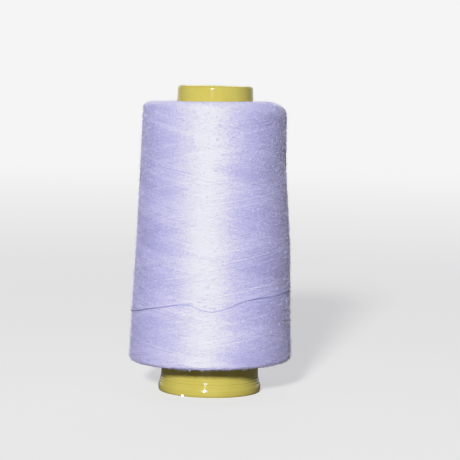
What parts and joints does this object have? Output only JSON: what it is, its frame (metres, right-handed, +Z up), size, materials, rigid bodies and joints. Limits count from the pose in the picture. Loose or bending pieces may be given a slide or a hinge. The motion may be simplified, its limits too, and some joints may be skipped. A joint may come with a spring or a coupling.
{
  "type": "thread spool",
  "caption": "Tapered thread package cross-wound on a hollow moulded cone, with a flared ridged foot, an open nose and one slack outer turn of thread.",
  "frame": {"origin": "centre of the underside of the cone's foot, where it stands", "axes": "+Z up the cone's axis through the nose, -Y towards the front, +X to the right seen from the front"},
  "size_m": [0.0898, 0.0898, 0.17],
  "materials": {
    "cone_plastic": "gloss injection-moulded polypropylene, mustard yellow",
    "thread": "spun polyester sewing thread, pale lilac"
  },
  "bodies": {
    "root": {"plastic_cone": "cone_plastic", "thread_package": "thread", "loose_outer_turn": "thread"}
  },
  "joints": []
}
